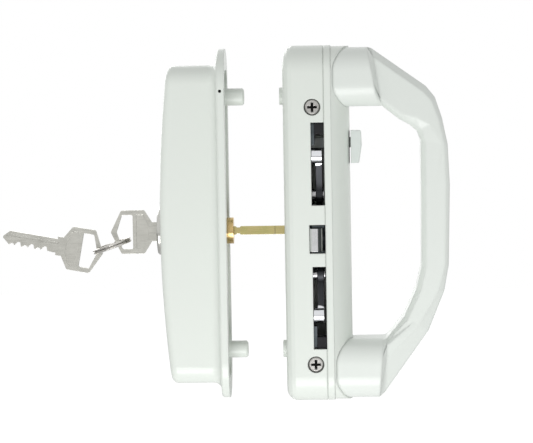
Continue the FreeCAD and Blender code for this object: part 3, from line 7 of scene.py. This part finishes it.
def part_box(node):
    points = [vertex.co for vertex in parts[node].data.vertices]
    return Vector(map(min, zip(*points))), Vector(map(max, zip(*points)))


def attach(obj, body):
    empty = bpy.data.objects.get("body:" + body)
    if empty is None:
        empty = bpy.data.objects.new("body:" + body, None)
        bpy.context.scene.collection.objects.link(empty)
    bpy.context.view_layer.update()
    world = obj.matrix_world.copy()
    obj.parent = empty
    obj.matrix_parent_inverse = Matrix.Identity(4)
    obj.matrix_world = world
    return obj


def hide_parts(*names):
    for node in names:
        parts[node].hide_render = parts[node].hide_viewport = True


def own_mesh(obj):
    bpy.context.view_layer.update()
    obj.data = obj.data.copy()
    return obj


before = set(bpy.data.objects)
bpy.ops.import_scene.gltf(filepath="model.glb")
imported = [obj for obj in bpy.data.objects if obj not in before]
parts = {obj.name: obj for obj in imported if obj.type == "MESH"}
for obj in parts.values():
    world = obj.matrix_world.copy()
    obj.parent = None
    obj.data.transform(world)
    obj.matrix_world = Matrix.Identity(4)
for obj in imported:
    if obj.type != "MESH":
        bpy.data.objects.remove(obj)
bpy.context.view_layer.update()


# Camera, floor and light.
# The set is seen square on to its latch edge from a little above, as a long lens sees it.
# The floor is a plain white sheet well below, and the light is soft and a little brighter from below.

yaw, pitch, roll = math.radians(1.98), math.radians(3.83), math.radians(-0.98)
target, distance = Vector((-0.0094, 0.0, 0.0007)), 1.293
back = Vector((math.sin(yaw) * math.cos(pitch), -math.cos(yaw) * math.cos(pitch), math.sin(pitch)))
right = back.cross(Vector((0, 0, -1))).normalized()
up = back.cross(right)
turned_right = right * math.cos(roll) + up * math.sin(roll)
turned_up = up * math.cos(roll) - right * math.sin(roll)
place = Matrix((turned_right, turned_up, back)).transposed().to_4x4()
place.translation = target + back * distance
camera = bpy.data.objects.new("camera", bpy.data.cameras.new("camera"))
sensor, focal_pixels, picture_pixels = 36.0, 2606.0, 533.0
camera.data.sensor_width = sensor
camera.data.lens = sensor * focal_pixels / picture_pixels
camera.matrix_world = place
bpy.context.scene.collection.objects.link(camera)
bpy.context.scene.camera = camera
bpy.context.scene.view_settings.view_transform = "Standard"


def soft_lamp(name, spot, aim, size, watts):
    """A square soft box at spot, turned towards aim."""
    data = bpy.data.lights.new(name, "AREA")
    data.size = size
    data.energy = watts
    lamp = bpy.data.objects.new(name, data)
    lamp.location = spot
    lamp.rotation_euler = (Vector(aim) - Vector(spot)).to_track_quat("-Z", "Y").to_euler()
    lamp.visible_camera = False
    bpy.context.scene.collection.objects.link(lamp)


soft_lamp("low_front_box", (-0.03, -0.55, -0.42), (0.0, 0.0, -0.03), 0.4, 2.3)
soft_lamp("high_side_box", (-0.7, -0.75, 0.75), (0.0, 0.0, 0.0), 0.7, 0.5)
soft_lamp("rear_box", (-0.45, 0.85, 0.30), (0.0, 0.0, 0.0), 0.7, 3.0)

# The room lights the set a little less than it shows in mirrors and to the camera
room_light, room_seen = 0.63, 1.0
world = bpy.data.worlds.new("studio")
bpy.context.scene.world = world
world.use_nodes = True
air = world.node_tree
air.nodes.clear()
rays = air.nodes.new("ShaderNodeLightPath")
seen = air.nodes.new("ShaderNodeMath")
seen.operation = "ADD"
seen.use_clamp = True
air.links.new(rays.outputs["Is Camera Ray"], seen.inputs[0])
glossy = air.nodes.new("ShaderNodeMath")
glossy.operation = "ADD"
air.links.new(rays.outputs["Is Glossy Ray"], glossy.inputs[0])
air.links.new(rays.outputs["Is Transmission Ray"], glossy.inputs[1])
air.links.new(glossy.outputs[0], seen.inputs[1])
tone = air.nodes.new("ShaderNodeMix")
tone.data_type = "RGBA"
tone.inputs["A"].default_value = (room_light, room_light, room_light, 1)
tone.inputs["B"].default_value = (room_seen, room_seen, room_seen, 1)
air.links.new(seen.outputs[0], tone.inputs["Factor"])
sky = air.nodes.new("ShaderNodeBackground")
air.links.new(tone.outputs["Result"], sky.inputs["Color"])
sky_out = air.nodes.new("ShaderNodeOutputWorld")
air.links.new(sky.outputs[0], sky_out.inputs["Surface"])

sheet = bpy.data.meshes.new("floor")
reach, drop = 6.0, -0.60
corners = [(x, y, drop) for x, y in ((-reach, -reach), (reach, -reach), (reach, reach), (-reach, reach))]
sheet.from_pydata(corners, [], [(0, 1, 2, 3)])
floor = bpy.data.objects.new("floor", sheet)
bpy.context.scene.collection.objects.link(floor)
paper = bpy.data.materials.new("white_paper")
paper.use_nodes = True
paper_nodes, paper_links = paper.node_tree.nodes, paper.node_tree.links
paper_skin = paper_nodes["Principled BSDF"]
paper_skin.inputs["Roughness"].default_value = 0.9
paper_skin.inputs["Specular IOR Level"].default_value = 0.0
paper_skin.inputs["Emission Strength"].default_value = 1.0
paper_rays = paper_nodes.new("ShaderNodeLightPath")
for socket, bounced, to_camera in (("Base Color", 0.85, 0.40), ("Emission Color", 0.0, 0.82)):
    paper_tone = paper_nodes.new("ShaderNodeMix")
    paper_tone.data_type = "RGBA"
    paper_tone.inputs["A"].default_value = (bounced, bounced, bounced, 1)
    paper_tone.inputs["B"].default_value = (to_camera, to_camera, to_camera, 1)
    paper_links.new(paper_rays.outputs["Is Camera Ray"], paper_tone.inputs["Factor"])
    paper_links.new(paper_tone.outputs["Result"], paper_skin.inputs[socket])
sheet.materials.append(paper)


# White enamel: inner housing, escutcheon plate, bail pull and outer pull.
# Each is a zinc die casting, tumbled so that its edges are soft, and powder coated white.
# The baked coat is a little glossy, with a fine orange peel and a faint green in its white.

def effect(name, takes, gives):
    """A shader node group with named inputs and outputs, and the two ends of its tree."""
    group = bpy.data.node_groups.new(name, "ShaderNodeTree")
    for label, kind, start in takes:
        socket = group.interface.new_socket(name=label, in_out="INPUT", socket_type=kind)
        if start is not None:
            socket.default_value = start
    for label, kind in gives:
        group.interface.new_socket(name=label, in_out="OUTPUT", socket_type=kind)
    return group, group.nodes.new("NodeGroupInput"), group.nodes.new("NodeGroupOutput")


# The soft edge that tumbling, blanking or moulding leaves, and where handling rubs it bright
soft_edge, edge_in, edge_out = effect(
    "soft_edge", [("Radius", "NodeSocketFloat", 0.0004)],
    [("Normal", "NodeSocketVector"), ("Edge", "NodeSocketFloat")])
rounding = soft_edge.nodes.new("ShaderNodeBevel")
rounding.samples = 6
soft_edge.links.new(edge_in.outputs["Radius"], rounding.inputs["Radius"])
flat = soft_edge.nodes.new("ShaderNodeNewGeometry")
likeness = soft_edge.nodes.new("ShaderNodeVectorMath")
likeness.operation = "DOT_PRODUCT"
soft_edge.links.new(rounding.outputs["Normal"], likeness.inputs[0])
soft_edge.links.new(flat.outputs["Normal"], likeness.inputs[1])
bent = soft_edge.nodes.new("ShaderNodeMapRange")
bent.inputs["From Min"].default_value = 0.995
bent.inputs["From Max"].default_value = 0.85
soft_edge.links.new(likeness.outputs["Value"], bent.inputs["Value"])
soft_edge.links.new(rounding.outputs["Normal"], edge_out.inputs["Normal"])
soft_edge.links.new(bent.outputs["Result"], edge_out.inputs["Edge"])

# Painted shade: colour darkened by ambient occlusion where a seam, joint or recess keeps the light out
painted_crevice_shade, crevice_in, crevice_out = effect(
    "painted_crevice_shade", [("Reach", "NodeSocketFloat", 0.0015), ("Closed", "NodeSocketFloat", 0.25),
                ("Open", "NodeSocketFloat", 0.75)], [("Dark", "NodeSocketFloat")])
nearby = painted_crevice_shade.nodes.new("ShaderNodeAmbientOcclusion")
nearby.samples = 8
painted_crevice_shade.links.new(crevice_in.outputs["Reach"], nearby.inputs["Distance"])
shut = painted_crevice_shade.nodes.new("ShaderNodeMapRange")
shut.inputs["To Min"].default_value = 1.0
shut.inputs["To Max"].default_value = 0.0
painted_crevice_shade.links.new(nearby.outputs["AO"], shut.inputs["Value"])
painted_crevice_shade.links.new(crevice_in.outputs["Closed"], shut.inputs["From Min"])
painted_crevice_shade.links.new(crevice_in.outputs["Open"], shut.inputs["From Max"])
painted_crevice_shade.links.new(shut.outputs["Result"], crevice_out.inputs["Dark"])

# Fine grain over a surface: orange peel, moulding grain or tumbling marks, and slow clouds in the finish
fine_grain, grain_in, grain_out = effect(
    "fine_grain",
    [("Vector", "NodeSocketVector", None), ("Normal", "NodeSocketVector", None),
     ("Grains per metre", "NodeSocketFloat", 1500.0), ("Depth", "NodeSocketFloat", 0.1),
     ("Clouds per metre", "NodeSocketFloat", 40.0)],
    [("Normal", "NodeSocketVector"), ("Grain", "NodeSocketFloat"), ("Clouds", "NodeSocketFloat")])
speckle = fine_grain.nodes.new("ShaderNodeTexNoise")
speckle.inputs["Detail"].default_value = 3.0
clouds = fine_grain.nodes.new("ShaderNodeTexNoise")
clouds.inputs["Detail"].default_value = 4.0
raised = fine_grain.nodes.new("ShaderNodeBump")
raised.inputs["Distance"].default_value = 0.0001
fine_grain.links.new(grain_in.outputs["Vector"], speckle.inputs["Vector"])
fine_grain.links.new(grain_in.outputs["Grains per metre"], speckle.inputs["Scale"])
fine_grain.links.new(grain_in.outputs["Vector"], clouds.inputs["Vector"])
fine_grain.links.new(grain_in.outputs["Clouds per metre"], clouds.inputs["Scale"])
fine_grain.links.new(grain_in.outputs["Depth"], raised.inputs["Strength"])
fine_grain.links.new(speckle.outputs["Fac"], raised.inputs["Height"])
fine_grain.links.new(grain_in.outputs["Normal"], raised.inputs["Normal"])
fine_grain.links.new(raised.outputs["Normal"], grain_out.inputs["Normal"])
fine_grain.links.new(speckle.outputs["Fac"], grain_out.inputs["Grain"])
fine_grain.links.new(clouds.outputs["Fac"], grain_out.inputs["Clouds"])


def new_finish(name, metal, coat=0.0):
    """An empty material: its tree, its Principled shader and its object coordinates."""
    finish = bpy.data.materials.new(name)
    finish.use_nodes = True
    tree = finish.node_tree
    skin = tree.nodes["Principled BSDF"]
    skin.inputs["Metallic"].default_value = metal
    skin.inputs["Coat Weight"].default_value = coat
    where = tree.nodes.new("ShaderNodeTexCoord").outputs["Object"]
    return finish, tree, skin, where


def put(tree, group, **values):
    """Places an effect in a material, with its own values and links."""
    node = tree.nodes.new("ShaderNodeGroup")
    node.node_tree = group
    for label, given in values.items():
        socket = node.inputs[label.replace("_", " ")]
        if isinstance(given, bpy.types.NodeSocket):
            tree.links.new(given, socket)
        else:
            socket.default_value = given
    return node.outputs


def between(tree, mask, first, second):
    """A colour or value that goes from first to second with a mask."""
    node = tree.nodes.new("ShaderNodeMix")
    colours = isinstance(first, (tuple, bpy.types.NodeSocketColor))
    node.data_type = "RGBA" if colours else "FLOAT"
    sockets = [socket for socket in node.inputs if socket.enabled and socket.name in ("A", "B")]
    for socket, given in zip(sockets, (first, second)):
        if isinstance(given, bpy.types.NodeSocket):
            tree.links.new(given, socket)
        else:
            socket.default_value = (*given, 1.0) if colours else given
    factor = next(socket for socket in node.inputs if socket.enabled and socket.name == "Factor")
    tree.links.new(mask, factor)
    return next(socket for socket in node.outputs if socket.enabled)


def dress(finish, *names):
    """Gives CAD parts a finish."""
    for name in names:
        for slot in parts[name].material_slots:
            slot.material = finish


def enamel(name, first, second, radius, shut=0.74):
    """A white coat over soft edges: fine peel, faint clouds, and painted shade in the seams."""
    finish, tree, skin, where = new_finish(name, 0.0, coat=0.25)
    edge = put(tree, soft_edge, Radius=radius)
    grain = put(tree, fine_grain, Vector=where, Normal=edge["Normal"], Grains_per_metre=900.0, Depth=0.10,
                Clouds_per_metre=14.0)
    # Painted shade: the coat darkens to under a quarter of its white where occlusion finds a shut seam.
    painted_seam_shade = put(tree, painted_crevice_shade, Reach=0.0016, Closed=shut * 0.3, Open=shut)
    coat = between(tree, grain["Clouds"], first, second)
    shaded = 0.22
    shade = tuple(channel * shaded for channel in first)
    tree.links.new(between(tree, painted_seam_shade["Dark"], coat, shade), skin.inputs["Base Color"])
    tree.links.new(between(tree, grain["Clouds"], 0.30, 0.42), skin.inputs["Roughness"])
    tree.links.new(grain["Normal"], skin.inputs["Normal"])
    skin.inputs["Coat Roughness"].default_value = 0.12
    return finish


white_enamel = enamel("white_enamel", (0.762, 0.808, 0.755), (0.785, 0.828, 0.778), 0.0008)
dress(white_enamel, "inner_housing", "escutcheon_plate", "outer_pull")

# The bail pull is tumbled longest: its facets run softly together, and its seams get almost no painted shade.
soft_enamel = enamel("soft_enamel", (0.765, 0.808, 0.765), (0.788, 0.828, 0.788), 0.0019, 0.05)
dress(soft_enamel, "bail_pull")


# Thumb lever: a moulded white plastic button on its stem.
# It is a shade greener and glossier than the enamel, and its edges are soft.

white_button = enamel("white_button", (0.70, 0.755, 0.725), (0.73, 0.78, 0.75), 0.0006)
dress(white_button, "thumb_lever")


# Latch hooks: blanked steel, with a thick round nose that is polished and chromed.
# The arm behind it is painted near black, as painted shade for its place deep in the slot.

brushed, brush_in, brush_out = effect(
    "brushed",
    [("Vector", "NodeSocketVector", None), ("Normal", "NodeSocketVector", None),
     ("Across", "NodeSocketVector", (300.0, 300.0, 4000.0)), ("Depth", "NodeSocketFloat", 0.1)],
    [("Normal", "NodeSocketVector"), ("Streaks", "NodeSocketFloat")])
stretched = brushed.nodes.new("ShaderNodeVectorMath")
stretched.operation = "MULTIPLY"
brushed.links.new(brush_in.outputs["Vector"], stretched.inputs[0])
brushed.links.new(brush_in.outputs["Across"], stretched.inputs[1])
streak = brushed.nodes.new("ShaderNodeTexNoise")
streak.inputs["Scale"].default_value = 1.0
streak.inputs["Detail"].default_value = 4.0
brushed.links.new(stretched.outputs["Vector"], streak.inputs["Vector"])
scratched = brushed.nodes.new("ShaderNodeBump")
scratched.inputs["Distance"].default_value = 0.0001
brushed.links.new(brush_in.outputs["Depth"], scratched.inputs["Strength"])
brushed.links.new(streak.outputs["Fac"], scratched.inputs["Height"])
brushed.links.new(brush_in.outputs["Normal"], scratched.inputs["Normal"])
brushed.links.new(scratched.outputs["Normal"], brush_out.inputs["Normal"])
brushed.links.new(streak.outputs["Fac"], brush_out.inputs["Streaks"])


def metal(name, dull, bright, rough, across, depth=0.12, radius=0.0002, worn=None):
    """Plated or bare metal: streaks along its grain, cloudy plate, bright rubbed edges and painted shade in
    its hollows.
    """
    finish, tree, skin, where = new_finish(name, 1.0)
    edge = put(tree, soft_edge, Radius=radius)
    grain = put(tree, brushed, Vector=where, Normal=edge["Normal"], Across=across, Depth=depth)
    cloud = put(tree, fine_grain, Vector=where, Normal=grain["Normal"], Depth=depth * 0.5,
                Grains_per_metre=2500.0, Clouds_per_metre=160.0)
    plain = between(tree, cloud["Clouds"], dull, bright)
    streaked = tree.nodes.new("ShaderNodeMix")
    streaked.data_type = "RGBA"
    streaked.blend_type = "MULTIPLY"
    streaked.inputs["Factor"].default_value = 0.25
    tree.links.new(plain, streaked.inputs["A"])
    tree.links.new(grain["Streaks"], streaked.inputs["B"])
    coloured = between(tree, edge["Edge"], streaked.outputs["Result"], worn or bright)
    # Painted shade: the colour darkens to a tenth of the dull tone where occlusion finds a hollow or seam.
    painted_hollow_shade = put(tree, painted_crevice_shade, Reach=0.002, Closed=0.10, Open=0.60)
    hollow_shade_level = 0.10
    hollow_shade_colour = tuple(channel * hollow_shade_level for channel in dull)
    tree.links.new(between(tree, painted_hollow_shade["Dark"], coloured, hollow_shade_colour), skin.inputs["Base Color"])
    tree.links.new(between(tree, grain["Streaks"], rough * 0.75, rough * 1.3), skin.inputs["Roughness"])
    tree.links.new(cloud["Normal"], skin.inputs["Normal"])
    return finish


def ramp(tree, measure, start, stop):
    """A mask that goes from 0 at start to 1 at stop."""
    node = tree.nodes.new("ShaderNodeMapRange")
    node.inputs["From Min"].default_value = start
    node.inputs["From Max"].default_value = stop
    tree.links.new(measure, node.inputs["Value"])
    return node.outputs["Result"]


def along(tree, vector, axis):
    """One of the three measures in a vector."""
    node = tree.nodes.new("ShaderNodeSeparateXYZ")
    tree.links.new(vector, node.inputs[0])
    return node.outputs[axis]


hook_chrome = metal("hook_chrome", (0.74, 0.76, 0.79), (0.90, 0.91, 0.93), 0.12, (200.0, 3500.0, 300.0), 0.05)
hook_tree = hook_chrome.node_tree
hook_skin = hook_tree.nodes["Principled BSDF"]
hook_where = hook_tree.nodes.new("ShaderNodeTexCoord").outputs["Object"]
nose_radius, chrome_ends, chrome_full = 0.0037, 0.0050, 0.0046


def nose_mask(name, end):
    """1 on a hook's round nose and 0 on its arm."""
    corners = [Vector(corner) for corner in parts[name].bound_box]
    tip = end(corner.z for corner in corners)
    inward = -nose_radius if end is max else nose_radius
    middle = sum(corners, Vector()) / 8
    apart = hook_tree.nodes.new("ShaderNodeVectorMath")
    apart.operation = "DISTANCE"
    front = min(corner.y for corner in corners)
    apart.inputs[1].default_value = (middle.x, front + nose_radius, tip + inward)
    hook_tree.links.new(hook_where, apart.inputs[0])
    return ramp(hook_tree, apart.outputs["Value"], chrome_ends, chrome_full)


chrome_nose = hook_tree.nodes.new("ShaderNodeMath")
chrome_nose.operation = "MAXIMUM"
hook_tree.links.new(nose_mask("upper_hook", max), chrome_nose.inputs[0])
hook_tree.links.new(nose_mask("lower_hook", min), chrome_nose.inputs[1])
chrome_colour = hook_skin.inputs["Base Color"].links[0].from_socket
chrome_rough = hook_skin.inputs["Roughness"].links[0].from_socket
# Painted shade: the arm is coloured near black, and only the round nose keeps the chrome.
painted_arm_shade, arm_roughness = (0.050, 0.052, 0.057), 0.42
hook_tree.links.new(between(hook_tree, chrome_nose.outputs[0], painted_arm_shade, chrome_colour),
                    hook_skin.inputs["Base Color"])
hook_tree.links.new(between(hook_tree, chrome_nose.outputs[0], arm_roughness, chrome_rough),
                    hook_skin.inputs["Roughness"])
dress(hook_chrome, "upper_hook", "lower_hook")


# Plunger: drawn steel, plated bright, with drawing marks along its length.
# Faces that turn towards +X, where the bevel is, are painted dark as painted shade, and a thin strip along
# the far edge is coloured near white.

bright_steel = metal("bright_steel", (0.62, 0.63, 0.64), (0.88, 0.88, 0.88), 0.20,
                     (3600.0, 150.0, 500.0), 0.3)
steel_tree = bright_steel.node_tree
steel_skin = steel_tree.nodes["Principled BSDF"]
facing = along(steel_tree, steel_tree.nodes.new("ShaderNodeNewGeometry").outputs["True Normal"], "X")
plated_steel = steel_skin.inputs["Base Color"].links[0].from_socket
# Painted shade: faces whose normal leans past 0.6 towards +X take a near-black colour.
face_side, bevel_side = 0.4, 0.6
painted_bevel_shade, far_edge_white = (0.120, 0.124, 0.130), (0.90, 0.90, 0.90)
bevel_shaded_colour = between(steel_tree, ramp(steel_tree, facing, face_side, bevel_side), plated_steel, painted_bevel_shade)
across = along(steel_tree, steel_tree.nodes.new("ShaderNodeTexCoord").outputs["Object"], "X")
far_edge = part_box("plunger")[1][0]
strip_starts, strip_full = far_edge - 0.0006, far_edge - 0.0003
far_edge_strip = ramp(steel_tree, across, strip_starts, strip_full)
steel_tree.links.new(between(steel_tree, far_edge_strip, bevel_shaded_colour, far_edge_white), steel_skin.inputs["Base Color"])
dress(bright_steel, "plunger")


# Lock case, cover and guide bracket: pressed sheet, folded, with the marks of rolling.
# It is zinc plated, blue-grey and cloudy. Two screws hold the case in the housing.

zinc_sheet = metal("zinc_sheet", (0.060, 0.072, 0.078), (0.150, 0.172, 0.180), 0.36, (2200.0, 2200.0, 120.0))
dress(zinc_sheet, "lock_case", "case_cover", "plunger_guide")


# End bumpers: two moulded blocks of soft black rubber, one at the outer end of each slot.
# They are matt and a little dusty.

bumper_rubber, rubber_tree, rubber_skin, rubber_where = new_finish("bumper_rubber", 0.0)
rubber_edge = put(rubber_tree, soft_edge, Radius=0.0004)
rubber_grain = put(rubber_tree, fine_grain, Vector=rubber_where, Normal=rubber_edge["Normal"],
                   Grains_per_metre=3000.0, Depth=0.35, Clouds_per_metre=200.0)
dusty_black = between(rubber_tree, rubber_grain["Clouds"], (0.010, 0.010, 0.011), (0.028, 0.028, 0.030))
matt = between(rubber_tree, rubber_grain["Grain"], 0.55, 0.75)
rubber_tree.links.new(dusty_black, rubber_skin.inputs["Base Color"])
rubber_tree.links.new(matt, rubber_skin.inputs["Roughness"])
rubber_tree.links.new(rubber_grain["Normal"], rubber_skin.inputs["Normal"])
rubber_skin.inputs["Specular IOR Level"].default_value = 0.2
dress(bumper_rubber, "end_bumpers")


# Bars, hub, pins and rivets: the moving steel of the lock, plain and lightly greased.
# The bars are blanked, the hub is die-cast zinc with a grey skin, and the pins are turned.

bar_steel = metal("bar_steel", (0.30, 0.31, 0.33), (0.48, 0.49, 0.51), 0.32, (2200.0, 2200.0, 120.0))
hub_zinc = metal("hub_zinc", (0.45, 0.45, 0.46), (0.60, 0.60, 0.61), 0.45, (900.0, 900.0, 900.0), 0.2)
pin_steel = metal("pin_steel", (0.48, 0.48, 0.49), (0.66, 0.66, 0.67), 0.25, (4000.0, 200.0, 200.0))
dress(bar_steel, "thumb_bar", "upper_bar")
dress(hub_zinc, "hub_pinion")
dress(pin_steel, "lower_drive_pin", "upper_drive_pin", "hook_pivots", "case_rivets", "plug_clip")


# Plunger spring: wound from steel wire.
# Its far end stays seated, and in the lock the plunger pushes the near end in; here the wire is a copy fixed
# to the root in place of the CAD spring.

spring_steel = metal("spring_steel", (0.28, 0.28, 0.30), (0.44, 0.44, 0.46), 0.30, (900.0, 900.0, 900.0))
spring_wire = bpy.data.objects.new("spring_wire", parts["plunger_spring"].data.copy())
spring_wire.data.materials.clear()
spring_wire.data.materials.append(spring_steel)
bpy.context.scene.collection.objects.link(spring_wire)
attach(spring_wire, "root")
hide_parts("plunger_spring")
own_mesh(spring_wire)


# Screws: cross-head steel, nickel plated, bright on the crown.
# Two hold the bail pull from inside the plate, two the case, and two show in the latch edge.

nickel_screw = metal("nickel_screw", (0.36, 0.35, 0.32), (0.56, 0.54, 0.50), 0.30, (1500.0, 1500.0, 1500.0))
dress(nickel_screw, "bail_screws", "case_screws")

# The crosses of the two in the latch edge are painted near black below their crown, as painted shade in the
# recess.
edge_nickel = metal("edge_nickel", (0.40, 0.395, 0.375), (0.62, 0.61, 0.585), 0.34, (1500.0, 1500.0, 1500.0))
edge_tree = edge_nickel.node_tree
edge_skin = edge_tree.nodes["Principled BSDF"]
depth = along(edge_tree, edge_tree.nodes.new("ShaderNodeTexCoord").outputs["Object"], "Y")
crown_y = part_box("edge_screws")[0][1]
cross_starts, cross_dark = crown_y + 0.0006, crown_y + 0.0012
recess_shade_mask = ramp(edge_tree, depth, cross_starts, cross_dark)
bare_nickel = edge_skin.inputs["Base Color"].links[0].from_socket
painted_recess_shade = (0.010, 0.010, 0.010)
edge_tree.links.new(between(edge_tree, recess_shade_mask, bare_nickel, painted_recess_shade), edge_skin.inputs["Base Color"])
dress(edge_nickel, "edge_screws")


# Key cylinder: a turned brass barrel, and the plug that the key turns.
# A ring nut clamps the barrel inside the pull.

cylinder_brass = metal("cylinder_brass", (0.62, 0.42, 0.17), (0.84, 0.64, 0.32), 0.22, (3000.0, 250.0, 250.0))
dress(cylinder_brass, "cylinder_nut")

# Barrel and plug are nickel plated where they show in front of the pull, and bare brass behind it.
plated_face = metal("plated_face", (0.62, 0.42, 0.17), (0.84, 0.64, 0.32), 0.22, (3000.0, 250.0, 250.0))
face_tree = plated_face.node_tree
face_skin = face_tree.nodes["Principled BSDF"]
inward = along(face_tree, face_tree.nodes.new("ShaderNodeTexCoord").outputs["Object"], "X")
pull_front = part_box("outer_pull")[0][0]
plate_ends, brass_starts = pull_front + 0.0008, pull_front + 0.0010
inside = ramp(face_tree, inward, plate_ends, brass_starts)
brass_colour = face_skin.inputs["Base Color"].links[0].from_socket
nickel = (0.52, 0.52, 0.49)
face_tree.links.new(between(face_tree, inside, nickel, brass_colour), face_skin.inputs["Base Color"])
dress(plated_face, "cylinder_body", "cylinder_plug")


# Tailpiece: a flat steel blade, zinc plated and yellow passivated.
# The passivation turns from straw to olive in slow bands along the blade.

yellow_zinc = metal("yellow_zinc", (0.44, 0.46, 0.16), (0.72, 0.56, 0.30), 0.24, (200.0, 2500.0, 2500.0),
                    worn=(0.78, 0.72, 0.48))
dress(yellow_zinc, "tailpiece")


# Keys and split ring: the keys are blanked from nickel silver and tumbled.
# The ring is spring steel in two flat turns, nickel plated.

key_nickel = metal("key_nickel", (0.48, 0.475, 0.43), (0.70, 0.695, 0.645), 0.30,
                   (150.0, 2500.0, 2500.0), 0.05)
ring_nickel = metal("ring_nickel", (0.58, 0.56, 0.52), (0.80, 0.78, 0.74), 0.16, (900.0, 900.0, 900.0), 0.05)
dress(key_nickel, "inserted_key", "spare_key")
dress(ring_nickel, "key_ring")
